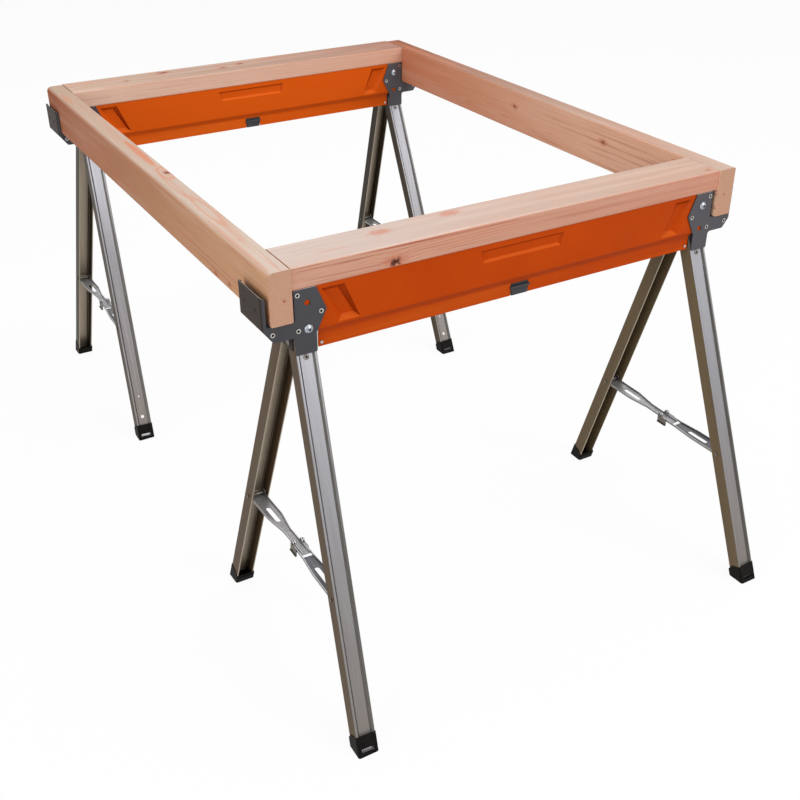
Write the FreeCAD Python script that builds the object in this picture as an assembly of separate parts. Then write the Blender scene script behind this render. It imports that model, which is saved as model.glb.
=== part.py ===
import FreeCAD, Part
import math
import os

V = FreeCAD.Vector

# Timber
timber_thick = 38.0
timber_wide = 89.0
timber_edge = 3.0
wane_edge = 10.0
board_length = 867.0
board_end_gap = 0.5
cross_length = 1230.0
cross_forward = 6.0

# Where each horse stands
cross_overhang = 41.0
horse_slide = 3.0

# Beam
beam_top = 762.0
plate_thick = 2.0
panel_thick = 1.2
panel_drop = 108.0
panel_lift = 76.0
panel_end_gap = 1.0
band_end_gap = 4.5
band_height = 23.0
band_setback = 5.0
band_step = 12.0
band_bend = 0.7
cap_thick = 2.0
cap_skirt = 4.0
cap_skirt_end = 6.0
cap_skirt_thick = 1.5

# Pockets pressed into the panels
end_pocket_depth = 8.0
end_pocket_wall = 8.0
end_pocket_top = 7.0
end_pocket_bottom = 70.0
end_pocket_upper = (47.5, 88.0)
end_pocket_lower = (76.0, 114.5)
mid_pocket_depth = 4.0
mid_pocket_wall = 4.0
mid_pocket_top = 10.0
mid_pocket_bottom = 32.5
mid_pocket_half = 86.0
mid_pocket_taper = 6.0

# End brackets
notch_clear = 6.0
notch_wide = 47.5
strip_wide = 6.5
strip_drop = 4.0
bend_radius = 6.0
flange_drop = 56.0
arm_height = 28.0
arm_toe = 17.0
crown_wide = 38.5
nose_wide = 55.0
nose_drop = 41.0
nose_heel = 78.0
neck_wide = 37.5
neck_shift = 1.0
neck_drop = 111.0
neck_fillet = 6.0
corner_radius = 3.0
screw_hole = 3.2
screw_spread = 20.0
screw_drop = 28.0
rest_lap = 2.0

# Bolts and rivets
bolt_radius = 4.9
bolt_play = 0.1
bolt_inset = 22.5
bolt_high_drop = 24.0
bolt_low_drop = 68.5
dome_radius = 7.5
dome_rim = 1.2
dome_rise = 3.6
socket_radius = 2.7
socket_depth = 2.6
nut_radius = 8.5
nut_thick = 6.0
rivet_head = 4.0
rivet_head_thick = 0.9
rivet_shank = 2.9
rivet_bore = 2.2
crown_rivet = (6.0, 8.5)
nose_rivet = (45.2, 43.0)
heel_rivet = (5.0, 68.5)
arm_rivet = (-38.2, 64.4)
band_rivet = (47.0, 101.0)
band_rivet_head = 2.6
band_rivet_shank = 1.5
rivet_play = 0.05

# Hangers inside the beam
hanger_thick = 2.0
hanger_play = 1.5
hanger_tail = 12.0
hanger_waist = 34.5

# Legs
leg_wide = 36.5
leg_deep = 27.5
leg_wall = 1.6
leg_splay = 20.0
leg_lean = 2.75
leg_stop_gap = 0.3
leg_strip = 4.2
leg_groove = 3.5
lip_play = 0.6
hinge_height = 94.0
hinge_radius = 4.0
hinge_head = 6.5
pin_head_thick = 1.5
running_play = 0.08
eyelet_drop = 6.0
eyelet_head = 4.6
eyelet_bore = 1.8
sight_square = 7.0
sight_square_height = 52.0
sight_round = 2.0
sight_round_height = 100.0

# Boots
boot_sole = 5.0
boot_side = 1.2
boot_front = 2.5
boot_back = 4.5
boot_tall = 36.0
boot_heel = 24.0
boot_corner = 4.0
boot_rim_run = 18.0
boot_window_wide = 24.0
boot_window_low = 7.0
boot_window_tall = 6.0

# Braces
brace_height = 259.0
brace_pin = 3.0
brace_pin_head = 3.6
brace_collar = 5.5
collar_play = 0.3
link_wide = 30.0
link_sheet = 1.5
link_below = 6.0
link_above = 7.0
link_rim = 4.5
link_end_round = 7.0
link_broad = 77.0
link_taper = 50.0
tongue_wide = 15.5
tongue_tail = 34.0
fork_play = 1.8
tongue_round = 5.0
slot_start = 45.0
slot_end = 95.0
slot_wide = 9.0
catch_start = 20.0
catch_end = 4.0
catch_deep = 10.0
catch_toe = 2.0
centre_rivet = 3.8
centre_rivet_thick = 1.2

# Latch
latch_wide = 34.0
latch_tall = 16.5
latch_play = 1.5
latch_travel = 4.5
latch_thick = 2.5
latch_flange = 7.0
latch_flange_low = 5.0
latch_flange_high = 23.0
latch_gap = 0.3
latch_proud = 1.0
ledge_half = 20.0
ledge_low = 13.5
ledge_high = 18.0
ledge_out = 4.0

# Places worked out from the sizes
horse_shift = cross_length / 2 - cross_overhang
board_half = board_length / 2
cross_in = board_half + board_end_gap
cross_out = cross_in + timber_thick
notch_in = cross_in - notch_clear
notch_out = notch_in + notch_wide
flange_out = notch_out + strip_wide
notch_floor = beam_top + timber_thick - timber_wide
timber_top = beam_top + timber_thick
plate_out = timber_wide / 2
plate_in = plate_out - plate_thick
panel_in = plate_in - panel_thick
band_out = plate_in - band_setback
band_in = band_out - panel_thick
panel_bottom = beam_top - panel_drop
step_height = panel_bottom + band_height
step_top = step_height + band_step
panel_half = notch_in - panel_end_gap
panel_foot = beam_top - panel_lift
neck_bottom = beam_top - neck_drop
neck_out = notch_in + neck_shift
neck_in = neck_out - neck_wide
band_half = neck_in - band_end_gap
bolt_x = notch_in - bolt_inset
splay = math.radians(leg_splay)
lean = math.radians(leg_lean)
leg_mid = leg_deep / 2
hinge_z = beam_top - hinge_height

# Axes of the right front leg: across it, inward through it, and up along it
plane_up = V(0, math.sin(splay), math.cos(splay))
leg_across = V(1, 0, 0) * math.cos(lean) + plane_up * math.sin(lean)
leg_inward = V(0, math.cos(splay), -math.sin(splay))
leg_up = plane_up * math.cos(lean) - V(1, 0, 0) * math.sin(lean)
leg_head = V(neck_out - neck_wide / 2, -(plate_in - leg_stop_gap), neck_bottom)

AXES = {
    "xy": (V(1, 0, 0), V(0, 1, 0), V(0, 0, 1)),
    "xz": (V(1, 0, 0), V(0, 0, 1), V(0, 1, 0)),
    "yz": (V(0, 1, 0), V(0, 0, 1), V(1, 0, 0)),
}


def height_along(height, depth=0.0):
    """Distance along the leg at which a point this deep in it is at a height."""
    rise = height - neck_bottom + depth * math.sin(splay)
    return rise / (math.cos(splay) * math.cos(lean))


def outline(points, plane, level):
    """Closed wire through corner points (a, b) or (a, b, radius)."""
    a_axis, b_axis, normal = AXES[plane]
    corners = []
    count = len(points)
    for index in range(count):
        here = V(points[index][0], points[index][1], 0)
        radius = points[index][2] if len(points[index]) > 2 else 0.0
        if radius == 0:
            corners.append((here, None, here))
            continue
        before = points[index - 1]
        after = points[(index + 1) % count]
        back = (V(before[0], before[1], 0) - here).normalize()
        ahead = (V(after[0], after[1], 0) - here).normalize()
        half = back.getAngle(ahead) / 2
        middle = (back + ahead).normalize()
        start = here + back * (radius / math.tan(half))
        end = here + ahead * (radius / math.tan(half))
        corners.append((start, here + middle * (radius / math.sin(half) - radius), end))

    def place(point):
        return a_axis * point.x + b_axis * point.y + normal * level

    edges = []
    for index in range(count):
        start, top, end = corners[index]
        if top is not None:
            edges.append(Part.Arc(place(start), place(top), place(end)).toShape())
        following = corners[(index + 1) % count][0]
        if (following - end).Length > 1e-6:
            edges.append(Part.LineSegment(place(end), place(following)).toShape())
    return Part.Wire(edges)


def slab(points, plane, low, high):
    face = Part.Face(outline(points, plane, low))
    return face.extrude(AXES[plane][2] * (high - low))


def block(x0, x1, y0, y1, z0, z1):
    return Part.makeBox(x1 - x0, y1 - y0, z1 - z0, V(x0, y0, z0))


def rod(radius, start, end):
    return Part.makeCylinder(radius, (end - start).Length, start, end - start)


def fused(shapes):
    return shapes[0].multiFuse(shapes[1:]).removeSplitter() if len(shapes) > 1 else shapes[0]


def mirror_x(shape):
    return shape.mirror(V(0, 0, 0), V(1, 0, 0))


def mirror_y(shape):
    return shape.mirror(V(0, 0, 0), V(0, 1, 0))


def placed(shape, origin, x_axis, y_axis, z_axis):
    matrix = FreeCAD.Matrix(
        x_axis.x, y_axis.x, z_axis.x, origin.x,
        x_axis.y, y_axis.y, z_axis.y, origin.y,
        x_axis.z, y_axis.z, z_axis.z, origin.z,
        0, 0, 0, 1)
    copy = shape.copy()
    copy.Placement = FreeCAD.Placement(matrix)
    return copy


# Timber pieces
def board(centre_y):
    low = centre_y - timber_wide / 2
    high = centre_y + timber_wide / 2
    section = [(low, beam_top, timber_edge), (high, beam_top, timber_edge),
               (high, timber_top, timber_edge), (low, timber_top, timber_edge)]
    return slab(section, "yz", -board_half, board_half)


def cross_member(outer_top_edge):
    section = [(cross_in, notch_floor, timber_edge), (cross_out, notch_floor, timber_edge),
               (cross_out, timber_top, outer_top_edge), (cross_in, timber_top, timber_edge)]
    middle = -cross_forward
    return slab(section, "xz", middle - cross_length / 2, middle + cross_length / 2)


# Rivets through the right front plate: place, and thickness of metal gripped
grip_all = plate_thick + panel_thick + hanger_thick
plate_rivets = [
    (crown_rivet, grip_all),
    (nose_rivet, plate_thick + panel_thick),
    (heel_rivet, grip_all),
    (arm_rivet, plate_thick),
]


def spot(inset_drop):
    return notch_in - inset_drop[0], beam_top - inset_drop[1]


def plate_rivet_holes():
    holes = []
    for place, grip in plate_rivets:
        x, z = spot(place)
        holes.append(rod(rivet_shank + rivet_play, V(x, -plate_out - 1, z), V(x, -plate_out + grip + 1, z)))
    return holes


def bolt_hole(drop):
    z = beam_top - drop
    seat = -panel_in + hanger_thick
    return rod(bolt_radius + bolt_play, V(bolt_x, -plate_out - 1, z), V(bolt_x, seat + 1, z))


# Bracket at the right end
def bracket():
    inner_end = notch_in - nose_wide - 1
    outer = slab([(inner_end, -plate_out), (flange_out, -plate_out, bend_radius),
                  (flange_out, plate_out, bend_radius), (inner_end, plate_out)],
                 "xy", neck_bottom, beam_top)
    inner_radius = bend_radius - plate_thick
    inner = slab([(inner_end - 1, -plate_in), (flange_out - plate_thick, -plate_in, inner_radius),
                  (flange_out - plate_thick, plate_in, inner_radius), (inner_end - 1, plate_in)],
                 "xy", neck_bottom - 1, beam_top + 1)
    arm_bottom = notch_floor - arm_height
    shape = slab([
        (flange_out, beam_top),
        (notch_out, beam_top - strip_drop, corner_radius),
        (notch_out, notch_floor),
        (notch_in, notch_floor),
        (notch_in, beam_top, corner_radius),
        (notch_in - crown_wide, beam_top),
        (notch_in - nose_wide, beam_top - nose_drop, corner_radius),
        (neck_in, beam_top - nose_heel, corner_radius),
        (neck_in, neck_bottom, corner_radius),
        (neck_out, neck_bottom, corner_radius),
        (neck_out, arm_bottom, neck_fillet),
        (flange_out - arm_toe, arm_bottom, neck_fillet),
        (flange_out, beam_top - flange_drop, corner_radius),
    ], "xz", -plate_out - 1, plate_out + 1)
    rest = block(cross_in - rest_lap, flange_out - plate_thick, -plate_in, plate_in,
                 notch_floor - plate_thick, notch_floor)
    piece = fused([outer.cut(inner).common(shape), rest])
    holes = []
    for hole in plate_rivet_holes() + [bolt_hole(bolt_high_drop), bolt_hole(bolt_low_drop)]:
        holes += [hole, mirror_y(hole)]
    for y in (-screw_spread, screw_spread):
        z = beam_top - screw_drop
        holes.append(rod(screw_hole, V(flange_out - plate_thick - 1, y, z), V(flange_out + 1, y, z)))
    return piece.cut(holes)


# Front panel, its outer face toward minus Y
def pocket_pair(upper, lower, top, bottom, wall, depth):
    """Pressed pan and the hollow in front of it."""
    face = [(upper[0], top), (upper[1], top), (lower[1], bottom), (lower[0], bottom)]
    floor = [(upper[0] + wall, top - wall), (upper[1] - wall, top - wall),
             (lower[1] - wall, bottom + wall), (lower[0] + wall, bottom + wall)]
    grow = panel_thick

    def grown(points):
        low_left, low_right = points[3], points[2]
        return [(points[0][0] - grow, points[0][1] + grow), (points[1][0] + grow, points[1][1] + grow),
                (low_right[0] + grow, low_right[1] - grow), (low_left[0] - grow, low_left[1] - grow)]

    hollow = Part.makeLoft([outline(face, "xz", -plate_in),
                            outline(floor, "xz", -plate_in + depth)], True, True)
    pan = Part.makeLoft([outline(grown(face), "xz", -plate_in),
                         outline(grown(floor), "xz", -plate_in + depth + panel_thick)], True, True)
    return pan, hollow


def panel(with_latch):
    sheet = slab([(-panel_half, panel_foot), (-band_half, panel_foot), (-band_half, step_top),
                  (band_half, step_top), (band_half, panel_foot), (panel_half, panel_foot),
                  (panel_half, beam_top), (-panel_half, beam_top)], "xz", -plate_in, -panel_in)
    band = slab([(-plate_in, step_top), (-band_out, step_height), (-band_out, panel_bottom),
                 (-band_in, panel_bottom), (-band_in, step_height + band_bend),
                 (-panel_in, step_top + band_bend)], "yz", -band_half, band_half)
    pans = []
    hollows = []
    middle = pocket_pair((-mid_pocket_half, mid_pocket_half),
                         (-mid_pocket_half + mid_pocket_taper, mid_pocket_half - mid_pocket_taper),
                         beam_top - mid_pocket_top, beam_top - mid_pocket_bottom,
                         mid_pocket_wall, mid_pocket_depth)
    upper = (notch_in - end_pocket_upper[1], notch_in - end_pocket_upper[0])
    lower = (notch_in - end_pocket_lower[1], notch_in - end_pocket_lower[0])
    end = pocket_pair(upper, lower, beam_top - end_pocket_top, beam_top - end_pocket_bottom,
                      end_pocket_wall, end_pocket_depth)
    for pan, hollow in (middle, end, (mirror_x(end[0]), mirror_x(end[1]))):
        pans.append(pan)
        hollows.append(hollow)
    piece = fused([sheet, band] + pans).cut(hollows)
    holes = []
    for hole in plate_rivet_holes()[:3]:
        holes += [hole, mirror_x(hole)]
    holes += [bolt_hole(bolt_high_drop), mirror_x(bolt_hole(bolt_low_drop))]
    x, z = spot(band_rivet)
    corner = rod(band_rivet_shank + rivet_play, V(x, -band_out - 1, z), V(x, -band_in + 1, z))
    holes += [corner, mirror_x(corner)]
    if with_latch:
        half = latch_wide / 2 + latch_play
        top = panel_bottom + latch_tall + latch_travel + latch_play
        holes.append(block(-half, half, -band_out - 1, -band_in + 1, panel_bottom - 1, top))
    return piece.cut(holes)


def top_plate():
    web = block(-panel_half, panel_half, -panel_in, panel_in, beam_top - cap_thick, beam_top)
    skirt_half = band_half - cap_skirt_end
    skirt = block(-skirt_half, skirt_half, -panel_in, -panel_in + cap_skirt_thick,
                  beam_top - cap_skirt, beam_top)
    return fused([web, skirt, mirror_y(skirt)])


# Hinge of the right front leg
hinge_along = height_along(hinge_z, leg_mid)
hinge_point = leg_head + leg_inward * leg_mid + leg_up * hinge_along
cheek_in = hinge_point.x - leg_wide / 2 - hanger_play
cheek_out = hinge_point.x + leg_wide / 2 + hanger_play


def hanger(bolt_drop):
    top = beam_top - cap_thick
    side = [(-panel_in, top), (-panel_in, panel_foot), (-hanger_waist, panel_foot),
            (-hanger_waist, hinge_z - hanger_tail), (hanger_waist, hinge_z - hanger_tail),
            (hanger_waist, panel_foot), (panel_in, panel_foot), (panel_in, top)]
    low_x = cheek_in - hanger_thick
    high_x = cheek_out + hanger_thick
    cheeks = [slab(side, "yz", low_x, cheek_in), slab(side, "yz", cheek_out, high_x)]
    roof = block(low_x, high_x, -panel_in, panel_in, top - hanger_thick, top)
    end = block(low_x, high_x, -panel_in, -panel_in + hanger_thick, panel_foot, top)
    piece = fused(cheeks + [roof, end, mirror_y(end)])
    holes = []
    for hole in [plate_rivet_holes()[0], plate_rivet_holes()[2], bolt_hole(bolt_drop)]:
        holes += [hole, mirror_y(hole)]
    bore = rod(hinge_radius + running_play, V(low_x - 1, hinge_point.y, hinge_z),
               V(high_x + 1, hinge_point.y, hinge_z))
    return piece.cut(holes + [bore, mirror_y(bore)])


def plate_rivet(place, grip):
    x, z = spot(place)
    face = -plate_out
    tail = face + grip
    body = [rod(rivet_head, V(x, face - rivet_head_thick, z), V(x, face, z)),
            rod(rivet_shank, V(x, face, z), V(x, tail, z)),
            rod(rivet_head, V(x, tail, z), V(x, tail + rivet_head_thick, z))]
    bore = rod(rivet_bore, V(x, face - rivet_head_thick - 1, z), V(x, tail, z))
    return fused(body).cut(bore)


def four_ways(shapes):
    copies = []
    for shape in shapes:
        copies += [shape, mirror_x(shape), mirror_y(shape), mirror_x(mirror_y(shape))]
    return copies


def bracket_rivets():
    rivets = [plate_rivet(place, grip) for place, grip in plate_rivets]
    x, z = spot(band_rivet)
    rivets.append(fused([
        rod(band_rivet_head, V(x, -band_out - rivet_head_thick, z), V(x, -band_out, z)),
        rod(band_rivet_shank, V(x, -band_out, z), V(x, -band_in, z)),
        rod(band_rivet_head, V(x, -band_in, z), V(x, -band_in + rivet_head_thick, z))]))
    return Part.makeCompound(four_ways(rivets))


def hexagon(x, z, radius):
    corners = []
    for step in range(6):
        angle = math.radians(60 * step)
        corners.append((x + radius * math.cos(angle), z + radius * math.sin(angle)))
    return corners


def dome_bolt(drop):
    z = beam_top - drop
    face = -plate_out
    seat = -panel_in + hanger_thick
    ball = (dome_radius ** 2 + dome_rise ** 2) / (2 * dome_rise)
    crown = Part.makeSphere(ball, V(bolt_x, face - dome_rim - dome_rise + ball, z))
    crown = crown.common(block(bolt_x - ball, bolt_x + ball, face - dome_rim - dome_rise - 1, face - dome_rim,
                               z - ball, z + ball))
    rim = rod(dome_radius, V(bolt_x, face - dome_rim, z), V(bolt_x, face, z))
    shank = rod(bolt_radius, V(bolt_x, face, z), V(bolt_x, seat + nut_thick, z))
    nut = slab(hexagon(bolt_x, z, nut_radius), "xz", seat, seat + nut_thick)
    top = face - dome_rim - dome_rise
    socket = slab(hexagon(bolt_x, z, socket_radius), "xz", top - 1, top + socket_depth)
    return fused([crown, rim, shank, nut]).cut(socket)


def bolts():
    right = dome_bolt(bolt_high_drop)
    left = mirror_x(dome_bolt(bolt_low_drop))
    return Part.makeCompound([right, mirror_y(right), left, mirror_y(left)])


def latch():
    half = latch_wide / 2
    low = panel_bottom
    back = -band_in + latch_gap
    face = -band_out - latch_proud
    tab = block(-half, half, face, back + latch_thick, low, low + latch_tall)
    ledge = block(-ledge_half, ledge_half, -band_out - ledge_out, -band_out - latch_gap,
                  low + ledge_low, low + ledge_high)
    flange = block(-half - latch_flange, half + latch_flange, back, back + latch_thick,
                   low + latch_flange_low, low + latch_flange_high)
    return fused([tab, ledge, flange])


# Right front leg
half_wide = leg_wide / 2
groove_edge = half_wide - leg_strip
slope_shift = leg_wall * (math.sqrt(2) - 1)
lip_edge = link_wide / 2 + lip_play
low_along = height_along(0.0) - leg_deep


def on_leg(shape):
    return placed(shape, leg_head, leg_across, leg_inward, leg_up)


def leg(sight_holes):
    inside = half_wide - leg_wall
    floor_edge = groove_edge - leg_groove
    right_side = [
        (floor_edge, leg_groove), (groove_edge, 0), (half_wide, 0, leg_wall),
        (half_wide, leg_deep, leg_wall), (lip_edge, leg_deep), (lip_edge, leg_deep - leg_wall),
        (inside, leg_deep - leg_wall), (inside, leg_wall), (groove_edge + slope_shift, leg_wall),
        (floor_edge + slope_shift, leg_groove + leg_wall)]
    left_side = [(-point[0],) + tuple(point[1:]) for point in reversed(right_side)]
    top = hinge_along + leg_mid
    section = slab(right_side + left_side, "xy", low_along, top)
    keep = block(-leg_wide, leg_wide, -1, leg_deep + 1, low_along, hinge_along)
    crown = rod(leg_mid, V(-leg_wide, leg_mid, hinge_along), V(leg_wide, leg_mid, hinge_along))
    piece = on_leg(section.common(keep.fuse(crown)))
    eyelet_at = height_along(neck_bottom - eyelet_drop)
    pin_at = height_along(brace_height, leg_mid)
    holes = [on_leg(rod(rivet_shank + rivet_play, V(0, -1, eyelet_at), V(0, leg_deep / 2, eyelet_at))),
             on_leg(rod(brace_pin + rivet_play, V(-leg_wide, leg_mid, pin_at), V(leg_wide, leg_mid, pin_at))),
             rod(hinge_radius + rivet_play, hinge_point - V(leg_wide, 0, 0), hinge_point + V(leg_wide, 0, 0))]
    if sight_holes:
        square_at = height_along(sight_square_height)
        half = sight_square / 2
        holes.append(on_leg(block(-half, half, -1, leg_mid, square_at - half, square_at + half)))
        round_at = height_along(sight_round_height)
        holes.append(on_leg(rod(sight_round, V(0, -1, round_at), V(0, leg_mid, round_at))))
    above_sole = block(0, 2 * flange_out, -2 * flange_out, 0, boot_sole, beam_top)
    return piece.cut(holes).common(above_sole)


def boot():
    side = half_wide + boot_side
    heel = leg_deep + boot_back
    floor_at = height_along(0.0)
    outer = slab([(-side, -boot_front, boot_corner), (side, -boot_front, boot_corner),
                  (side, heel, boot_corner), (-side, heel, boot_corner)],
                 "xy", low_along, floor_at + boot_tall)
    slope = slab([(boot_rim_run, floor_at + boot_tall), (heel + 1, floor_at + boot_heel),
                  (heel + 1, floor_at + boot_tall + 1), (boot_rim_run, floor_at + boot_tall + 1)],
                 "yz", -leg_wide, leg_wide)
    window_at = height_along(boot_window_low)
    window = block(-boot_window_wide / 2, boot_window_wide / 2, -boot_front - 1, 0,
                   window_at, window_at + boot_window_tall)
    above_floor = block(0, 2 * flange_out, -2 * flange_out, 0, 0, beam_top)
    core = slab([(-half_wide, 0, leg_wall), (half_wide, 0, leg_wall), (half_wide, leg_deep, leg_wall),
                 (-half_wide, leg_deep, leg_wall)], "xy", low_along, floor_at + boot_tall + 1)
    above_sole = block(0, 2 * flange_out, -2 * flange_out, 0, boot_sole, beam_top)
    shell = on_leg(outer.cut([slope, window])).common(above_floor)
    return shell.cut(on_leg(core).common(above_sole))


def leg_pins():
    grip = half_wide + hanger_play + hanger_thick
    near_end = V(grip + collar_play, 0, 0)
    far_end = V(grip + pin_head_thick, 0, 0)
    hinge = fused([
        rod(hinge_radius, hinge_point - near_end, hinge_point + near_end),
        rod(hinge_head, hinge_point - far_end, hinge_point - near_end),
        rod(hinge_head, hinge_point + near_end, hinge_point + far_end)])
    at = height_along(brace_height, leg_mid)
    inside = half_wide - leg_wall
    collar = link_wide / 2 + collar_play
    pieces = [rod(brace_pin, V(-half_wide, leg_mid, at), V(half_wide, leg_mid, at))]
    for side in (-1, 1):
        pieces.append(rod(brace_pin_head, V(side * half_wide, leg_mid, at),
                          V(side * (half_wide + pin_head_thick), leg_mid, at)))
        pieces.append(rod(brace_collar, V(side * collar, leg_mid, at), V(side * inside, leg_mid, at)))
    brace = on_leg(fused(pieces))
    at = height_along(neck_bottom - eyelet_drop)
    tail = leg_groove + leg_wall
    eyelet = fused([rod(eyelet_head, V(0, leg_groove - rivet_head_thick, at), V(0, leg_groove, at)),
                    rod(rivet_shank, V(0, leg_groove, at), V(0, tail, at)),
                    rod(rivet_head, V(0, tail, at), V(0, tail + rivet_head_thick, at))])
    eyelet = on_leg(eyelet.cut(rod(eyelet_bore, V(0, -1, at), V(0, tail, at))))
    return Part.makeCompound([hinge, brace, eyelet])


# Brace links, in a frame at the leg pin: across, toward the middle, and up
brace_point = leg_head + leg_inward * leg_mid + leg_up * height_along(brace_height, leg_mid)
link_toward = V(-leg_across.y / leg_across.x, 1, 0).normalize()
link_up = leg_across.cross(link_toward)
link_reach = -brace_point.y / link_toward.y
link_narrow = link_broad + link_taper


def on_link(shape):
    return placed(shape, brace_point, leg_across, link_toward, link_up)


def link(end_half, is_fork):
    wide = link_wide / 2
    tip = link_reach + tongue_round
    finish = tip if is_fork else link_reach + tongue_tail
    last = link_reach if is_fork else finish
    rim = -link_below + link_rim

    def plan(inset, start, stop):
        return [(-wide + inset, start), (wide - inset, start), (wide - inset, link_broad),
                (end_half - inset, link_narrow), (end_half - inset, stop), (-end_half + inset, stop),
                (-end_half + inset, link_narrow), (-wide + inset, link_broad)]

    web_top = -link_below + link_sheet
    outer = slab(plan(0, -link_end_round, finish), "xy", -link_below, link_above)
    inner = slab(plan(link_sheet, -link_end_round - 1, finish + 1), "xy", web_top, link_above + 1)
    keep = fused([
        block(-wide, wide, 0, last, -link_below, rim),
        rod(link_end_round, V(-wide, 0, 0), V(wide, 0, 0)),
        rod(tongue_round, V(-wide, link_reach, 0), V(wide, link_reach, 0))])
    middle = (slot_start + slot_end) / 2
    run = (slot_end - slot_start - slot_wide) / 2
    cuts = [
        rod(brace_pin + running_play, V(-wide - 1, 0, 0), V(wide + 1, 0, 0)),
        block(-slot_wide / 2, slot_wide / 2, middle - run, middle + run, -link_below - 1, 0),
        rod(slot_wide / 2, V(0, middle - run, -link_below - 1), V(0, middle - run, 0)),
        rod(slot_wide / 2, V(0, middle + run, -link_below - 1), V(0, middle + run, 0))]
    if is_fork:
        gap = end_half - link_sheet
        cuts.append(block(-gap, gap, link_narrow + link_sheet, tip + 1, -link_below - 1, link_above + 1))
        cuts.append(rod(rivet_shank + rivet_play, V(-wide, link_reach, 0), V(wide, link_reach, 0)))
    return on_link(outer.cut(inner).common(keep).cut(cuts))


tongue_half = tongue_wide / 2
fork_half = tongue_half + fork_play + link_sheet


def brace_catch():
    """Catch plate on each cheek of the fork, with its half of the middle rivet."""
    low = link_reach - catch_start
    high = link_reach + catch_end
    foot = -link_below - catch_deep
    cheek = fused([
        block(fork_half, fork_half + link_sheet, low, high, foot, -link_below + link_rim),
        block(fork_half, fork_half + link_sheet + catch_toe, low, high, foot, foot + link_sheet),
        rod(centre_rivet, V(fork_half, link_reach, 0), V(fork_half + centre_rivet_thick, link_reach, 0)),
        rod(rivet_shank, V(fork_half - link_sheet, link_reach, 0), V(fork_half, link_reach, 0))])
    return on_link(Part.makeCompound([cheek, mirror_x(cheek)]))


# One horse, about its own middle plane
def horse(sight_holes):
    pieces = {}
    pieces["front_panel"] = panel(True)
    pieces["rear_panel"] = mirror_y(panel(False))
    pieces["top_plate"] = top_plate()
    pieces["right_bracket"] = bracket()
    pieces["left_bracket"] = mirror_x(bracket())
    pieces["right_hanger"] = hanger(bolt_high_drop)
    pieces["left_hanger"] = mirror_x(hanger(bolt_low_drop))
    pieces["bracket_rivets"] = bracket_rivets()
    pieces["dome_bolts"] = bolts()
    pieces["latch"] = latch()
    quarter = {
        "front": {"leg": leg(sight_holes), "boot": boot(), "leg_pins": leg_pins(),
                  "brace_link": link(fork_half, True), "brace_catch": brace_catch()},
        "rear": {"leg": leg(False), "boot": boot(), "leg_pins": leg_pins(),
                 "brace_link": link(tongue_half, False)},
    }
    for face, members in quarter.items():
        for name, shape in members.items():
            here = shape if face == "front" else mirror_y(shape)
            pieces["right_" + face + "_" + name] = here
            pieces["left_" + face + "_" + name] = mirror_x(here)
    return pieces


def write(name, shape):
    shape.exportStep("parts/" + name + ".step")


for horse_name, way, sight_holes in (("near", -1, False), ("far", 1, True)):
    for piece_name, shape in horse(sight_holes).items():
        moved = shape.copy()
        moved.translate(V(way * horse_slide, way * horse_shift, 0))
        write(horse_name + "_" + piece_name, moved)
write("near_board", board(-horse_shift))
write("far_board", board(horse_shift))
write("right_cross_member", cross_member(timber_edge))
write("left_cross_member", mirror_x(cross_member(wane_edge)))
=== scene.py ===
import math

import bpy
from mathutils import Matrix, Vector

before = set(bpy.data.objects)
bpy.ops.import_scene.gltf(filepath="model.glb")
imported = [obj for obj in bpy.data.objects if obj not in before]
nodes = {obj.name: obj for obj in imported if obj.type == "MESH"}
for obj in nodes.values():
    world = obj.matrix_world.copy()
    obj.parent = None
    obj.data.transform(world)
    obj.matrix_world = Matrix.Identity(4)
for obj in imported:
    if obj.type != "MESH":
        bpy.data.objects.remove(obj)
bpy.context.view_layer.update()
scene = bpy.context.scene
scene.view_settings.view_transform = "Standard"

# Places on the part that the finishes follow, in metres.
# A pair of heights or distances is where a change of tone starts and where it is complete.
splay = math.radians(20.0)
horse_slide = 0.003
leg_head_height = 0.651
leg_out_at_floor = 0.44353
leg_out_at_head = 0.41025
leg_strip = (0.0125, 0.0135)
leg_low_face = (0.05, 0.42)
leg_high_face = (0.42, 0.66)
leg_strip_fade = (0.3, 0.62)
boot_window = (0.014, 0.020)
boot_sill = (0.014, 0.012)
brace_rim = (0.2555, 0.257)
beam_edge = (0.752, 0.756)
left_to_right = (-0.1, 0.1)
right_to_left = (0.1, -0.1)
near_to_far = (-0.45, 0.6)
half_run = {"X": 0.45, "Y": 0.6}


def srgb(red, green, blue):
    """Linear colour from the usual 0 to 255 numbers."""
    def linear(value):
        value = value / 255.0
        return value / 12.92 if value <= 0.04045 else ((value + 0.055) / 1.055) ** 2.4
    return (linear(red), linear(green), linear(blue), 1.0)


def grey_level(level):
    return (level, level, level, 1.0)


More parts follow.
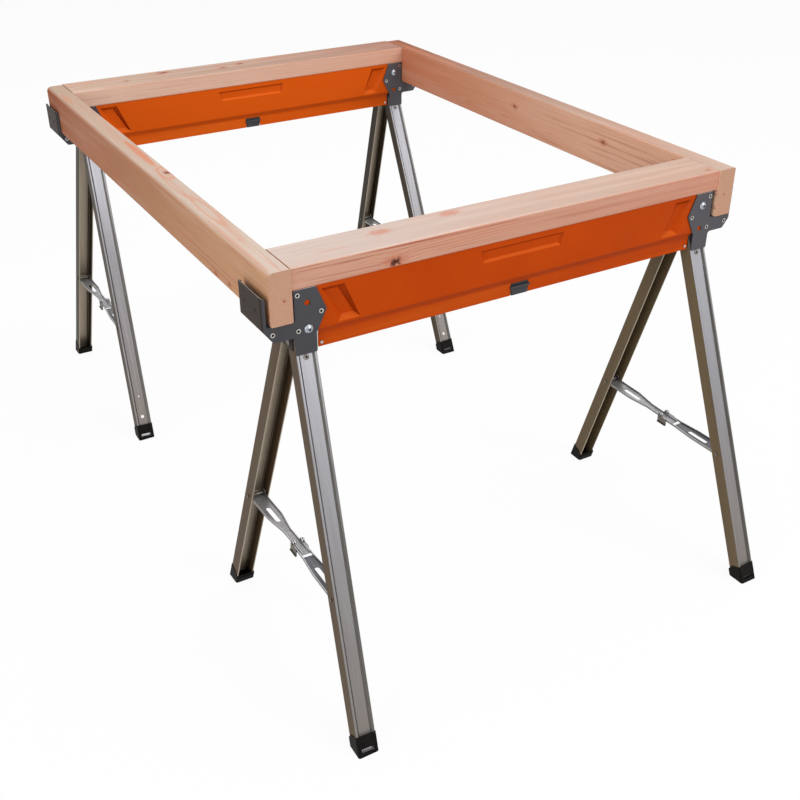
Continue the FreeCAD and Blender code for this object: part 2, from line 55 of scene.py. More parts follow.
class Material:
    """A node material with short calls for its nodes."""

    def __init__(self, name):
        self.data = bpy.data.materials.new(name)
        self.data.use_nodes = True
        self.tree = self.data.node_tree
        self.shader = self.tree.nodes["Principled BSDF"]

    def add(self, kind, sockets=None, **settings):
        made = self.tree.nodes.new(kind)
        for key, value in settings.items():
            setattr(made, key, value)
        for key, value in (sockets or {}).items():
            self.put(made.inputs[key], value)
        return made

    def put(self, socket, value):
        if isinstance(value, bpy.types.NodeSocket):
            self.tree.links.new(value, socket)
        else:
            socket.default_value = value

    def set(self, **values):
        for key, value in values.items():
            self.put(self.shader.inputs[key.replace("_", " ")], value)

    def place(self):
        return self.add("ShaderNodeTexCoord").outputs["Object"]

    def normal(self):
        return self.add("ShaderNodeTexCoord").outputs["Normal"]

    def part(self, vector, axis):
        return self.add("ShaderNodeSeparateXYZ", {"Vector": vector}).outputs[axis]

    def join(self, x, y, z=0.0):
        return self.add("ShaderNodeCombineXYZ", {"X": x, "Y": y, "Z": z}).outputs[0]

    def sum(self, kind, first, second=0.0, third=0.0):
        made = self.add("ShaderNodeMath", operation=kind)
        for index, value in enumerate((first, second, third)):
            self.put(made.inputs[index], value)
        return made.outputs[0]

    def vector(self, kind, first, second=(0.0, 0.0, 0.0)):
        made = self.add("ShaderNodeVectorMath", operation=kind)
        self.put(made.inputs[0], first)
        self.put(made.inputs[1], second)
        return made.outputs["Value" if kind in ("LENGTH", "DISTANCE", "DOT_PRODUCT") else "Vector"]

    def stretch(self, place, scale, turn=(0.0, 0.0, 0.0)):
        turned = self.add("ShaderNodeMapping", {"Vector": place, "Rotation": turn, "Scale": scale})
        return turned.outputs[0]

    def noise(self, place, scale, detail=2.0, rough=0.5):
        made = self.add("ShaderNodeTexNoise", {"Vector": place, "Scale": scale, "Detail": detail,
                                               "Roughness": rough})
        return made.outputs["Fac"]

    def grain(self, place, scale, detail=2.0, rough=0.5):
        """Noise with a scale of its own on each axis."""
        return self.noise(self.stretch(place, scale), 1.0, detail, rough)

    def span(self, value, low, high, first=0.0, last=1.0, smooth=False):
        made = self.add("ShaderNodeMapRange", {"Value": value, "From Min": low, "From Max": high,
                                               "To Min": first, "To Max": last},
                        interpolation_type="SMOOTHSTEP" if smooth else "LINEAR")
        return made.outputs[0]

    def mix(self, share, first, second):
        made = self.add("ShaderNodeMix", data_type="RGBA")
        self.put(made.inputs["Factor"], share)
        # The colour sockets come after those for numbers and vectors.
        self.put(made.inputs[6], first)
        self.put(made.inputs[7], second)
        return made.outputs[2]

    def ramp(self, value, stops):
        made = self.add("ShaderNodeValToRGB", {"Fac": value})
        band = made.color_ramp
        while len(band.elements) < len(stops):
            band.elements.new(0.5)
        for element, (at, level) in zip(band.elements, stops):
            element.position = at
            element.color = grey_level(level)
        return made.outputs[0]

    def edge(self, low, high, most):
        """Share of wear and painted highlight on outward edges."""
        pointed = self.add("ShaderNodeNewGeometry").outputs["Pointiness"]
        return self.span(pointed, low, high, 0.0, most)

    def hollow(self, reach, most):
        """Share of shade and dirt deep inside small holes and corners."""
        occlusion = self.add("ShaderNodeAmbientOcclusion", {"Distance": reach}, samples=6)
        return self.span(occlusion.outputs["AO"], 0.35, 0.8, most, 0.0)

    def bump(self, height, strength, distance):
        return self.add("ShaderNodeBump", {"Height": height, "Strength": strength,
                                           "Distance": distance}).outputs[0]


# Figure of the wood. The scales are along the run, across it and up.
warp_scale = (2.0, 9.0, 9.0)
wobble_scale = (9.0, 60.0, 60.0)
patch_scale = (1.7, 14.0, 14.0)
fibre_scale = (12.0, 800.0, 800.0)
line_scale = (4.0, 230.0, 230.0)
streak_scale = (3.0, 60.0, 60.0)
cloud_scale = (2.4, 10.0, 10.0)
ragged_scale = 150.0
speck_scale = 700.0
warp_depth = 0.022
wobble_depth = 0.0012
end_wobble_depth = 0.0016
end_spacing = 0.0037
knot_squeeze = 0.5
late_steps = [(0.0, 0.3), (0.08, 0.0), (0.5, 0.08), (0.8, 0.6), (0.93, 1.0), (1.0, 0.3)]
end_steps = [(0.0, 0.2), (0.3, 0.0), (0.8, 0.3), (1.0, 0.2)]

# Colours of the wood
ruddy_wood = srgb(214, 156, 130)
pale_wood = srgb(238, 216, 202)
late_wood = srgb(212, 122, 82)
loop_wood = srgb(218, 134, 98)
resin_wood = srgb(172, 86, 60)
fibre_wood = srgb(168, 112, 84)
end_early = srgb(210, 166, 140)
end_late = srgb(176, 120, 92)
end_speck = srgb(184, 132, 102)
end_cloud = srgb(200, 150, 120)
knot_halo = srgb(204, 112, 84)
knot_heart = srgb(80, 44, 34)


# Softwood: growth rings about a pith line, fibres, resin lines and knots.
# The four tones are the top at both ends of the run, then the sides at both ends. The change of
# tone along the run is painted shade, and the difference between top and sides is partly bleaching
# and partly painted light.
# The figure is the strength of the rings on the top and on the sides.
# A knot is (along, across, up, radius, darkness of its heart).
# A loop is a long closed grain line on the top: (along, across, half length, half width, strength),
# and loops of the second list are filled.
def pine(name, along, pith, tilt, spacing, tones, figure, knots, loops, filled, seed):
    m = Material(name)
    place = m.place()
    run = m.part(place, along)
    side = m.part(place, "Y" if along == "X" else "X")
    rise = m.part(place, "Z")
    wood = m.join(run, side, rise)
    moved = m.vector("ADD", wood, (seed, seed * 0.37, seed * 0.61))
    ragged = m.noise(moved, ragged_scale, 3.0, 0.6)

    push = 0.0
    heart = 0.0
    halo = 0.0
    for knot_run, knot_side, knot_rise, radius, darkness in knots:
        away = m.vector("DISTANCE", m.vector("MULTIPLY", wood, (knot_squeeze, 1.0, 1.0)),
                        (knot_run * knot_squeeze, knot_side, knot_rise))
        push = m.sum("ADD", push, m.span(away, 0.0, radius * 3.5, radius * 0.8, 0.0, True))
        rough = m.sum("MULTIPLY_ADD", ragged, radius * 2.4, m.sum("SUBTRACT", away, radius * 1.2))
        heart = m.sum("MAXIMUM", heart, m.span(rough, radius * 0.25, radius, darkness, 0.0, True))
        halo = m.sum("MAXIMUM", halo, m.span(rough, radius * 0.5, radius * 2.2, 1.0, 0.0, True))

    looped = 0.0
    for index, (loop_run, loop_side, half_long, half_wide, share) in enumerate(loops + filled):
        off_run = m.sum("MULTIPLY", m.sum("SUBTRACT", run, loop_run), 1.0 / half_long)
        off_side = m.sum("MULTIPLY", m.sum("SUBTRACT", side, loop_side), 1.0 / half_wide)
        around = m.sum("MULTIPLY_ADD", ragged, 0.5, m.vector("LENGTH", m.join(off_run, off_side)))
        band = m.sum("SUBTRACT", around, 1.2)
        if index < len(loops):
            band = m.sum("ABSOLUTE", band)
        looped = m.sum("MAXIMUM", looped, m.span(band, 0.0, 0.4, share, 0.0, True))

    warp = m.grain(moved, warp_scale)
    wobble = m.grain(moved, wobble_scale)
    lean_side = m.sum("MULTIPLY_ADD", run, tilt[0], m.sum("SUBTRACT", side, pith[0]))
    lean_rise = m.sum("MULTIPLY_ADD", run, tilt[1], m.sum("SUBTRACT", rise, pith[1]))
    radial = m.vector("LENGTH", m.join(lean_side, lean_rise))
    end_radial = m.sum("MULTIPLY_ADD", wobble, end_wobble_depth, radial)
    end_ring = m.sum("FRACT", m.sum("MULTIPLY", end_radial, 1.0 / end_spacing))
    radial = m.sum("MULTIPLY_ADD", warp, warp_depth, radial)
    radial = m.sum("MULTIPLY_ADD", wobble, wobble_depth, radial)
    radial = m.sum("ADD", radial, push)
    ring = m.sum("FRACT", m.sum("MULTIPLY", radial, 1.0 / spacing))
    late = m.ramp(ring, late_steps)
    patch = m.grain(moved, patch_scale)
    late_share = m.sum("MULTIPLY", late, m.span(patch, 0.42, 0.6, 0.22, 1.0, True))
    fibre = m.grain(moved, fibre_scale, 2.0, 0.6)
    line = m.grain(moved, line_scale, 2.0, 0.55)
    streak = m.grain(moved, streak_scale)
    cloud = m.grain(moved, cloud_scale, 3.0, 0.55)
    speck = m.noise(moved, speck_scale, 2.0, 0.6)

    facing = m.normal()
    top = m.span(m.part(facing, "Z"), 0.35, 0.9)
    sawn = m.span(m.sum("ABSOLUTE", m.part(facing, along)), 0.8, 0.95)
    strength = m.span(top, 0.0, 1.0, figure[1], figure[0])
    # Painted shade along the run and painted light between top and sides, from the four tones.
    way = m.span(run, -half_run[along], half_run[along])
    tone = m.mix(top, m.mix(way, tones[2], tones[3]), m.mix(way, tones[0], tones[1]))
    tone = m.mix(m.span(cloud, 0.45, 0.75, 0.0, 0.3), tone, ruddy_wood)
    pale = m.sum("MULTIPLY", m.span(streak, 0.5, 0.7), m.span(top, 0.0, 1.0, 0.12, 0.22))
    tone = m.mix(pale, tone, pale_wood)
    tone = m.mix(m.sum("MULTIPLY", late_share, strength), tone, late_wood)
    tone = m.mix(m.sum("MULTIPLY", looped, top), tone, loop_wood)
    lined = m.sum("MULTIPLY", m.span(line, 0.55, 0.68), m.span(way, 0.1, 0.7, 1.0, 0.3))
    tone = m.mix(m.sum("MULTIPLY", lined, strength), tone, resin_wood)
    tone = m.mix(m.span(fibre, 0.35, 0.75, 0.0, 0.14), tone, fibre_wood)

    cut = m.mix(m.ramp(end_ring, end_steps), end_early, end_late)
    cut = m.mix(m.span(speck, 0.45, 0.7, 0.0, 0.5), cut, end_speck)
    cut = m.mix(m.span(cloud, 0.4, 0.7, 0.0, 0.3), cut, end_cloud)
    tone = m.mix(sawn, tone, cut)
    tone = m.mix(m.sum("MULTIPLY", halo, 0.55), tone, knot_halo)
    tone = m.mix(heart, tone, knot_heart)

    m.set(Base_Color=tone, Specular_IOR_Level=0.12)
    m.set(Roughness=m.span(fibre, 0.3, 0.75, 0.56, 0.72))
    coarse = m.sum("MULTIPLY_ADD", sawn, 0.8, 1.0)
    height = m.sum("ADD", m.sum("MULTIPLY", late_share, 0.5), coarse)
    m.set(Normal=m.bump(m.sum("MULTIPLY", fibre, height), 0.2, 0.0006))
    return m.data


def powder_coat(name, colour, deep, light, gloss, grain, far,
                shade_tone=None, wood_reflection=None, top_edge_highlight=None):
    """Sprayed paint: fine peel, soft mottling and rubbed edges with a painted highlight, and
    painted light that makes it lighter towards one end.

    It can take painted shade on overhangs, on walls that face left and on walls that face right, a
    painted highlight on upper slopes, a warm painted reflection of the wood on the end flanges, and
    a painted highlight on the upward faces of the cut upper edges.
    """
    m = Material(name)
    place = m.place()
    facing = m.normal()
    peel = m.noise(place, grain, 3.0, 0.55)
    broad = m.noise(place, 9.0, 3.0, 0.55)
    speck = m.noise(place, grain * 2.6, 1.0)
    tone = m.mix(m.span(broad, 0.35, 0.68), deep, colour)
    # Painted light: the tone grows lighter towards one end, where more light falls.
    axis, start, stop, lighter = far
    tone = m.mix(m.span(m.part(place, axis), start, stop), tone, lighter)
    tone = m.mix(m.span(speck, 0.62, 0.8, 0.0, 0.25), tone, light)
    # Wear and a painted highlight on the outward edges.
    tone = m.mix(m.edge(0.54, 0.62, 0.2), tone, light)
    along = m.part(place, "X")
    to_side = m.part(facing, "X")
    upward = m.part(facing, "Z")
    if shade_tone is not None:
        # Painted shade: darker on faces that look down, on walls that face left (most towards the
        # left end), and on walls that face right near the right end.
        overhang_shade = m.span(upward, -0.15, -0.4, 0.0, 0.45)
        tone = m.mix(overhang_shade, tone, shade_tone)
        left_facing_shade = m.sum("MULTIPLY", m.span(to_side, -0.3, -0.65),
                           m.span(along, -0.1, 0.25, 0.6, 0.12))
        tone = m.mix(left_facing_shade, tone, shade_tone)
        right_facing_shade = m.sum("MULTIPLY", m.span(to_side, 0.3, 0.65),
                            m.span(along, 0.2, 0.3, 0.0, 0.6))
        tone = m.mix(right_facing_shade, tone, shade_tone)
        # Painted highlight: lighter on the upper slopes.
        upper_slope_highlight = m.span(upward, 0.3, 0.65, 0.0, 0.28)
        tone = m.mix(upper_slope_highlight, tone, light)
    if wood_reflection is not None:
        # Painted reflection: the end flanges take a warm tone from the wood beside them.
        flange_reflection = m.span(m.sum("ABSOLUTE", to_side), 0.6, 0.9, 0.0, 0.92)
        tone = m.mix(flange_reflection, tone, wood_reflection)
    if top_edge_highlight is not None:
        # Painted highlight: the upward faces of the cut upper edges are pale.
        upper = m.span(m.part(place, "Z"), *beam_edge)
        top_edge_highlight_share = m.sum("MULTIPLY", upper, m.span(upward, 0.7, 0.9, 0.0, 0.9))
        tone = m.mix(top_edge_highlight_share, tone, top_edge_highlight)
    m.set(Base_Color=tone, Roughness=m.span(peel, 0.3, 0.7, gloss - 0.05, gloss + 0.08))
    m.set(Specular_IOR_Level=0.08, Normal=m.bump(peel, 0.08, 0.0004))
    return m.data


# Colours of the leg channels
shaded_low_face = srgb(124, 117, 112)
middle_face = srgb(140, 139, 143)
lit_high_face = srgb(155, 155, 161)
lit_left_window = srgb(205, 204, 206)
shaded_right_window = srgb(74, 74, 84)
left_wall_shade = srgb(92, 72, 52)
right_wall_shade = srgb(118, 101, 76)
far_wall_shade = srgb(58, 49, 39)
wall_patch = srgb(98, 86, 70)
wall_speck = srgb(52, 43, 35)
groove_wall_shade = srgb(76, 73, 68)
strip_shade = srgb(60, 55, 47)
lit_channel_inside = srgb(166, 151, 129)
rolled_streak = srgb(206, 205, 208)
rolled_patch = srgb(104, 96, 88)
rolled_speck = srgb(92, 86, 80)
rolled_edge = srgb(206, 204, 204)


def channel_steel(name, out):
    """Zinc-coated channel: bright rolled face that darkens towards the floor as painted shade,
    brown side walls in painted shade and dark reflection, darker on the left legs and the far
    horse, groove walls in painted shade, and a tan inside as painted light.
    """
    m = Material(name)
    place = m.place()
    facing = m.normal()
    turned = m.stretch(place, (1.0, 1.0, 1.0), (-math.copysign(splay, out.y), 0.0, 0.0))
    streak = m.grain(turned, (500.0, 500.0, 4.0), 3.0, 0.6)
    broad = m.grain(turned, (40.0, 40.0, 3.0), 3.0, 0.6)
    speck = m.noise(place, 900.0, 2.0, 0.6)
    along = m.part(place, "X")
    depth = m.part(place, "Y")
    height = m.part(place, "Z")
    to_right = m.span(along, *left_to_right)

    # Painted shade: the rolled face darkens from the head of the leg towards the floor.
    face = m.mix(m.span(height, *leg_low_face), shaded_low_face, middle_face)
    face = m.mix(m.span(height, *leg_high_face), face, lit_high_face)
    # Painted light and shade low on the face, seen through the boot window: pale on the left legs,
    # dark on the right legs.
    window = m.mix(to_right, lit_left_window, shaded_right_window)
    face = m.mix(m.span(height, *boot_window), window, face)

    # Painted shade and dark reflection on the side walls: brown, darker on the left legs and on the
    # far horse.
    wall = m.mix(to_right, left_wall_shade, right_wall_shade)
    wall = m.mix(m.span(depth, *near_to_far), wall, far_wall_shade)
    wall = m.mix(m.span(broad, 0.45, 0.75, 0.0, 0.5), wall, wall_patch)
    wall = m.mix(m.span(speck, 0.6, 0.8, 0.0, 0.3), wall, wall_speck)

    across = m.sum("ABSOLUTE", m.part(facing, "X"))
    # Painted shade on the groove walls.
    tone = m.mix(m.span(across, 0.2, 0.45), face, groove_wall_shade)
    # The far horse stands a little to the right and the near one to the left. The strip of
    # face to the right of the groove is shaded, more so towards the floor.
    from_middle = m.sum("MULTIPLY_ADD", m.sum("SIGN", depth), -horse_slide, along)
    leg_out = m.span(height, 0.0, leg_head_height, leg_out_at_floor, leg_out_at_head)
    centre = m.sum("MULTIPLY", m.sum("SIGN", from_middle), leg_out)
    strip = m.span(m.sum("SUBTRACT", from_middle, centre), *leg_strip)
    strip = m.sum("MULTIPLY", strip, m.span(height, *leg_strip_fade, 0.9, 0.2))
    tone = m.mix(strip, tone, strip_shade)
    # Painted light: the inward faces of the channel get a pale tan.
    inward = m.vector("DOT_PRODUCT", facing, tuple(-v for v in out))
    tone = m.mix(m.span(inward, 0.4, 0.8), tone, lit_channel_inside)
    tone = m.mix(m.span(streak, 0.5, 0.85, 0.0, 0.16), tone, rolled_streak)
    tone = m.mix(m.span(broad, 0.5, 0.75, 0.0, 0.25), tone, rolled_patch)
    tone = m.mix(m.span(speck, 0.6, 0.8, 0.0, 0.16), tone, rolled_speck)
    # Wear and a painted highlight on the outward edges.
    tone = m.mix(m.edge(0.51, 0.57, 0.18), tone, rolled_edge)
    # The side walls take the painted shade tone.
    flank = m.span(across, 0.8, 0.95)
    tone = m.mix(flank, tone, wall)

    m.set(Base_Color=tone, Metallic=m.span(flank, 0.0, 1.0, 0.55, 0.0))
    m.set(Specular_IOR_Level=m.span(flank, 0.0, 1.0, 0.25, 0.06))
    m.set(Roughness=m.span(streak, 0.3, 0.75, 0.46, 0.34))
    m.set(Normal=m.bump(streak, 0.05, 0.0004))
    return m.data


# Colours of the brace links
link_rim_highlight = srgb(206, 207, 211)
link_side_shade = srgb(112, 106, 100)
link_streak = srgb(196, 197, 200)
link_edge = srgb(220, 220, 223)


def link_steel(name, dull, pale):
    """Pressed zinc-coated link: rim tops with a painted highlight, a web from dull to pale, and
    brown-grey sides in painted shade.
    """
    m = Material(name)
    place = m.place()
    facing = m.normal()
    streak = m.grain(place, (300.0, 12.0, 300.0), 3.0, 0.6)
    broad = m.noise(place, 45.0, 3.0, 0.6)
    web = m.mix(m.span(broad, 0.35, 0.7), dull, pale)
    # Painted highlight on the rim tops.
    web = m.mix(m.span(m.part(place, "Z"), *brace_rim), web, link_rim_highlight)
    # Painted shade on the faces that do not look up.
    flat = m.span(m.part(facing, "Z"), 0.2, 0.7)
    tone = m.mix(flat, link_side_shade, web)
    tone = m.mix(m.span(streak, 0.5, 0.8, 0.0, 0.3), tone, link_streak)
    # Wear and a painted highlight on the outward edges.
    tone = m.mix(m.edge(0.51, 0.57, 0.4), tone, link_edge)
    m.set(Base_Color=tone, Metallic=0.6)
    m.set(Roughness=m.span(streak, 0.3, 0.75, 0.44, 0.3))
    m.set(Normal=m.bump(streak, 0.06, 0.0004))
    return m.data


bore_reach = 0.006
bore_shade = srgb(26, 23, 21)


def zinc_plate(name, pale, dull, shine):
    """Plated fasteners: fine pitting, dull patches and dark bores."""
    m = Material(name)
    place = m.place()
    fine = m.noise(place, 1600.0, 3.0, 0.6)
    broad = m.noise(place, 160.0, 2.0, 0.5)
    tone = m.mix(m.span(broad, 0.35, 0.7), dull, pale)
    tone = m.mix(m.span(fine, 0.55, 0.8, 0.0, 0.4), tone, dull)
    tone = m.mix(m.hollow(bore_reach, 0.97), tone, bore_shade)
    m.set(Base_Color=tone, Metallic=0.8, Roughness=m.span(fine, 0.3, 0.7, shine, shine + 0.14))
    m.set(Normal=m.bump(fine, 0.06, 0.0003))
    return m.data


mould_grain = 1400.0


def plastic(name, colour, light, ledge, gloss, shine, lit_sill=None):
    """Moulded plastic with a fine spark-eroded grain and a tone of its own on flat upper faces.

    The sill is painted light: a pale tone on the low upward faces on the left legs, where light
    comes in through the boot window.
    """
    m = Material(name)
    place = m.place()
    fine = m.noise(place, mould_grain, 2.0, 0.6)
    broad = m.noise(place, 40.0, 3.0, 0.6)
    tone = m.mix(m.span(broad, 0.4, 0.75, 0.0, 0.6), colour, light)
    upward = m.span(m.part(m.normal(), "Z"), 0.6, 0.9)
    tone = m.mix(upward, tone, ledge)
    if lit_sill is not None:
        # Painted light on the low upward faces of the left boots.
        low = m.sum("MULTIPLY", upward, m.span(m.part(place, "Z"), *boot_sill))
        low_left = m.sum("MULTIPLY", low, m.span(m.part(place, "X"), *right_to_left))
        tone = m.mix(low_left, tone, lit_sill)
    # Wear and a painted highlight on the outward edges.
    tone = m.mix(m.edge(0.53, 0.62, 0.35), tone, light)
    m.set(Base_Color=tone, Roughness=m.span(fine, 0.3, 0.7, gloss - 0.06, gloss + 0.1))
    m.set(Specular_IOR_Level=shine, Normal=m.bump(fine, 0.14, 0.0004))
    return m.data


# Finishes
near_wood = pine(
    "pine_near_board", "X", pith=(-0.575, 0.705), tilt=(0.03, 0.02), spacing=0.0046,
    tones=(srgb(213, 196, 187), srgb(198, 167, 149), srgb(216, 166, 142), srgb(213, 155, 132)),
    figure=(0.12, 0.85),
    knots=[(-0.2530, -0.6185, 0.7720, 0.0075, 1.0), (-0.2482, -0.5612, 0.8000, 0.0070, 0.0),
           (-0.1068, -0.5476, 0.8000, 0.0065, 0.0), (0.4169, -0.6057, 0.8000, 0.0030, 0.5)],
    loops=[],
    filled=[(-0.3500, -0.5860, 0.025, 0.0030, 0.25)],
    seed=3.1)
far_wood = pine(
    "pine_far_board", "X", pith=(0.590, 0.700), tilt=(-0.02, 0.03), spacing=0.0046,
    tones=(srgb(204, 180, 161), srgb(164, 126, 111), srgb(228, 194, 173), srgb(220, 172, 148)),
    figure=(0.3, 0.3),
    knots=[(-0.1962, 0.5964, 0.8000, 0.0070, 0.8), (-0.0518, 0.5686, 0.8000, 0.0050, 0.7),
           (-0.0022, 0.5835, 0.8000, 0.0060, 0.8), (-0.2974, 0.5665, 0.8000, 0.0040, 0.5)],
    loops=[],
    filled=[],
    seed=8.7)
left_wood = pine(
    "pine_left_member", "Y", pith=(-0.4623, 0.740), tilt=(0.012, -0.01), spacing=0.0080,
    tones=(srgb(212, 195, 181), srgb(190, 164, 143), srgb(216, 167, 127), srgb(144, 74, 38)),
    figure=(0.2, 0.45),
    knots=[(-0.1097, -0.4414, 0.8000, 0.0055, 0.8), (-0.4623, -0.4720, 0.7215, 0.0035, 0.6),
           (-0.6210, -0.4476, 0.7509, 0.0022, 0.7), (-0.4063, -0.4720, 0.7186, 0.0038, 0.6)],
    loops=[(-0.1100, -0.4440, 0.035, 0.0110, 0.55), (-0.1850, -0.4555, 0.065, 0.0050, 0.5),
           (-0.3300, -0.4500, 0.075, 0.0085, 0.45), (-0.5000, -0.4500, 0.110, 0.0035, 0.35)],
    filled=[(0.0250, -0.4470, 0.080, 0.0060, 0.75), (-0.4900, -0.4655, 0.115, 0.0025, 0.35),
            (0.4800, -0.4600, 0.040, 0.0050, 0.4)],
    seed=15.3)
right_wood = pine(
    "pine_right_member", "Y", pith=(0.440, 0.735), tilt=(-0.02, 0.015), spacing=0.0046,
    tones=(srgb(202, 180, 164), srgb(150, 90, 64), srgb(254, 208, 176), srgb(196, 118, 82)),
    figure=(0.3, 0.5),
    knots=[(-0.2906, 0.4340, 0.7650, 0.0050, 0.6), (-0.5037, 0.4340, 0.7839, 0.0030, 0.9),
           (0.0231, 0.4340, 0.7650, 0.0050, 0.6), (-0.6210, 0.4518, 0.7517, 0.0018, 0.7)],
    loops=[],
    filled=[(0.4400, 0.4450, 0.170, 0.0030, 0.6)],
    seed=23.9)
# The orange takes painted light towards the far panels, painted shade in the dark tone and a
# painted highlight on upper slopes.
orange = powder_coat(
    "orange_coat", colour=srgb(199, 72, 1), deep=srgb(191, 67, 1), light=srgb(236, 120, 40),
    gloss=0.46, grain=700.0, far=("Y", -0.6, 0.5, srgb(217, 87, 7)), shade_tone=srgb(136, 42, 0))
# The charcoal takes painted light towards the right brackets, a painted reflection of the wood on
# the end flanges and a painted highlight on the top edges.
charcoal = powder_coat(
    "charcoal_coat", colour=srgb(80, 79, 83), deep=srgb(73, 72, 76), light=srgb(104, 103, 106),
    gloss=0.48, grain=900.0, far=("X", 0.0, 0.4, srgb(92, 90, 94)),
    wood_reflection=srgb(50, 37, 27), top_edge_highlight=srgb(206, 204, 202))
front_steel = channel_steel("galvanised_front", Vector((0.0, -math.cos(splay), math.sin(splay))))
rear_steel = channel_steel("galvanised_rear", Vector((0.0, math.cos(splay), math.sin(splay))))
# Two copies of one link steel: the front links darker as painted shade, the rear links lighter as
# painted light.
front_link = link_steel("front_link_steel", dull=srgb(84, 84, 90), pale=srgb(100, 100, 106))
lit_rear_link = link_steel("lit_rear_link_steel", dull=srgb(154, 154, 157), pale=srgb(182, 182, 184))
catch_steel = zinc_plate("catch_steel", srgb(128, 120, 112), srgb(92, 84, 76), shine=0.36)
zinc = zinc_plate("zinc_plate", srgb(216, 213, 206), srgb(170, 167, 161), shine=0.26)
bolt_zinc = zinc_plate("bolt_zinc", srgb(196, 199, 208), srgb(150, 153, 162), shine=0.24)
pin_steel = zinc_plate("pin_steel", srgb(124, 119, 114), srgb(90, 84, 79), shine=0.34)
front_black = plastic("front_boot", srgb(16, 14, 12), srgb(34, 31, 29), ledge=srgb(20, 17, 15),
                      gloss=0.5, shine=0.05, lit_sill=srgb(150, 148, 150))
rear_black = plastic("rear_boot", srgb(12, 10, 9), srgb(28, 26, 24), ledge=srgb(8, 7, 6),
                     gloss=0.5, shine=0.05)
grey = plastic("grey_latch", srgb(66, 66, 70), srgb(82, 82, 86), ledge=srgb(24, 24, 26),
               gloss=0.45, shine=0.14)


def finish_for(name):
    if name.endswith("board"):
        return near_wood if name.startswith("near") else far_wood
    if name.endswith("cross_member"):
        return left_wood if name.startswith("left") else right_wood
    if name.endswith(("panel", "top_plate")):
        return orange
    if name.endswith(("bracket", "hanger")):
        return charcoal
    if name.endswith("_leg"):
        return front_steel if "_front_" in name else rear_steel
    if name.endswith("boot"):
        return front_black if "_front_" in name else rear_black
    if name.endswith("latch"):
        return grey
    if name.endswith("link"):
        return front_link if "_front_" in name else lit_rear_link
    if name.endswith("catch"):
        return catch_steel
    if name.endswith("leg_pins"):
        return pin_steel
    if name.endswith("bolts"):
        return bolt_zinc
    return zinc


def soften(piece, width):
    """Small rounds on the sharp edges of a carried-over solid."""
    weld = piece.modifiers.new("weld", "WELD")
    weld.merge_threshold = 0.00001
    bevel = piece.modifiers.new("round", "BEVEL")
    bevel.width = width
    bevel.segments = 2
    bevel.limit_method = "ANGLE"
    bevel.angle_limit = math.radians(35)
    bevel.use_clamp_overlap = True
    normal = piece.modifiers.new("normals", "WEIGHTED_NORMAL")
    normal.keep_sharp = False


# Radius of the round by the ending of the piece's name
edge_round = {"panel": 0.0004, "bracket": 0.0003, "_leg": 0.0004, "boot": 0.0026, "link": 0.0004,
              "catch": 0.0004, "latch": 0.0006, "hanger": 0.0004, "plate": 0.0004}
for name, piece in nodes.items():
    piece.data.materials.clear()
    piece.data.materials.append(finish_for(name))
    for ending, width in edge_round.items():
        if name.endswith(ending):
            soften(piece, width)


# Floor, light and camera
white = grey_level(1.0)
floor_reach = 30.0
floor_drop = 0.0005
floor_own_light = 0.92
floor_seen = grey_level(0.93)
floor_bounce = grey_level(0.45)
sky_light = 0.42
sky_seen = 1.0
lamp_side = 5.0
sensor_width = 36.0
picture_pixels = 800.0
focal_pixels = 1085.46


def background_share(tree):
    """1 for rays that see the background itself: from the camera, off gloss or passed on."""
    rays = tree.nodes.new("ShaderNodeLightPath").outputs
    first = tree.nodes.new("ShaderNodeMath")
    second = tree.nodes.new("ShaderNodeMath")
    first.operation = "MAXIMUM"
    second.operation = "MAXIMUM"
    tree.links.new(rays["Is Camera Ray"], first.inputs[0])
    tree.links.new(rays["Is Glossy Ray"], first.inputs[1])
    tree.links.new(first.outputs[0], second.inputs[0])
    tree.links.new(rays["Is Transmission Ray"], second.inputs[1])
    return second.outputs[0]


def floor_material():
    """White where it is seen, darker for the light that it throws back at the part."""
    m = Material("floor")
    m.tree.nodes.remove(m.shader)
    seen = background_share(m.tree)
    share = m.sum("MULTIPLY", seen, floor_own_light)
    tint = m.mix(seen, floor_bounce, floor_seen)
    matt = m.add("ShaderNodeBsdfDiffuse", {"Color": tint}).outputs[0]
    own_light = m.add("ShaderNodeEmission", {"Color": white, "Strength": 1.0}).outputs[0]
    mixed = m.add("ShaderNodeMixShader", {0: share, 1: matt, 2: own_light}).outputs[0]
    m.tree.links.new(mixed, m.tree.nodes["Material Output"].inputs["Surface"])
    return m.data


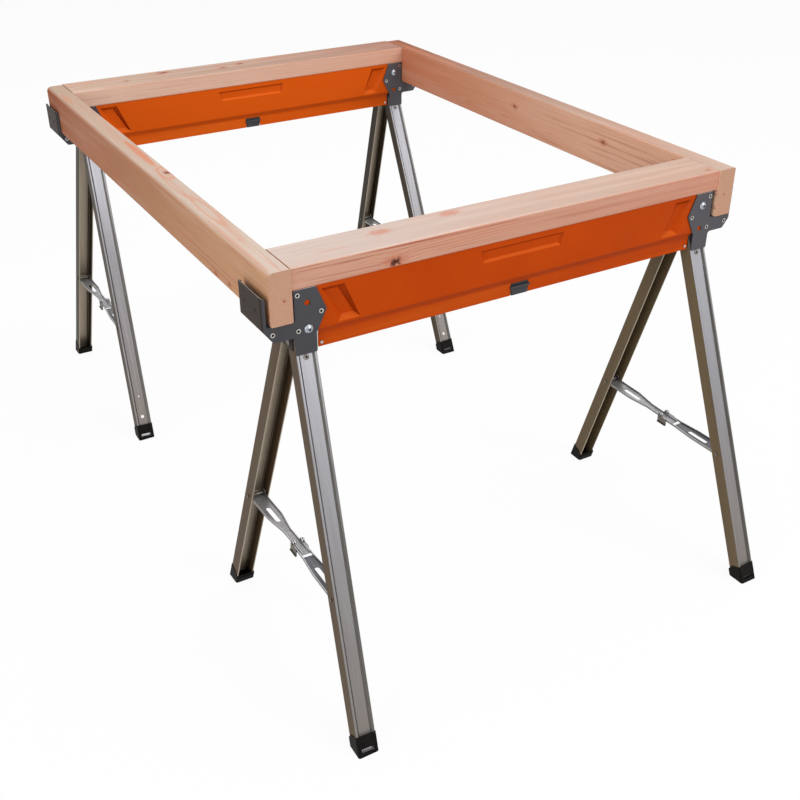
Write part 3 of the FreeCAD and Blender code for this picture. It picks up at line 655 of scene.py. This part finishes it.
floor_mesh = bpy.data.meshes.new("floor")
floor_corners = [(x * floor_reach, y * floor_reach, 0)
                 for x, y in ((-1, -1), (1, -1), (1, 1), (-1, 1))]
floor_mesh.from_pydata(floor_corners, [], [(0, 1, 2, 3)])
floor = bpy.data.objects.new("floor", floor_mesh)
scene.collection.objects.link(floor)
floor.location = (0, 0, -floor_drop)
floor_mesh.materials.append(floor_material())

world = bpy.data.worlds.new("studio")
scene.world = world
world.use_nodes = True
tree = world.node_tree
sky = tree.nodes["Background"]
sky.inputs["Color"].default_value = white
strength = tree.nodes.new("ShaderNodeMapRange")
strength.inputs["To Min"].default_value = sky_light
strength.inputs["To Max"].default_value = sky_seen
tree.links.new(background_share(tree), strength.inputs["Value"])
tree.links.new(strength.outputs[0], sky.inputs["Strength"])


def softbox(name, place, aim, power):
    lamp = bpy.data.lights.new(name, "AREA")
    lamp.shape = "RECTANGLE"
    lamp.size = lamp_side
    lamp.size_y = lamp_side
    lamp.energy = power
    made = bpy.data.objects.new(name, lamp)
    scene.collection.objects.link(made)
    made.location = place
    made.rotation_euler = (Vector(aim) - Vector(place)).to_track_quat("-Z", "Y").to_euler()


softbox("top_light", place=(0.5, -0.6, 6.0), aim=(0.0, 0.0, 0.5), power=175.0)
softbox("front_light", place=(4.0, -9.0, 5.0), aim=(0.0, 0.0, 0.5), power=400.0)
softbox("left_light", place=(-9.0, -3.5, 3.5), aim=(0.0, 0.0, 0.6), power=330.0)

camera_data = bpy.data.cameras.new("camera")
camera_data.sensor_width = sensor_width
camera_data.lens = sensor_width * focal_pixels / picture_pixels
camera = bpy.data.objects.new("camera", camera_data)
scene.collection.objects.link(camera)
right = Vector((0.86294, -0.50530, -0.00304))
up = Vector((0.25956, 0.43809, 0.86064))
back = Vector((-0.43355, -0.74347, 0.50920))
place = Vector((-1.04204, -1.98407, 1.45186))
camera.matrix_world = Matrix((
    (right.x, up.x, back.x, place.x),
    (right.y, up.y, back.y, place.y),
    (right.z, up.z, back.z, place.z),
    (0.0, 0.0, 0.0, 1.0)))
scene.camera = camera
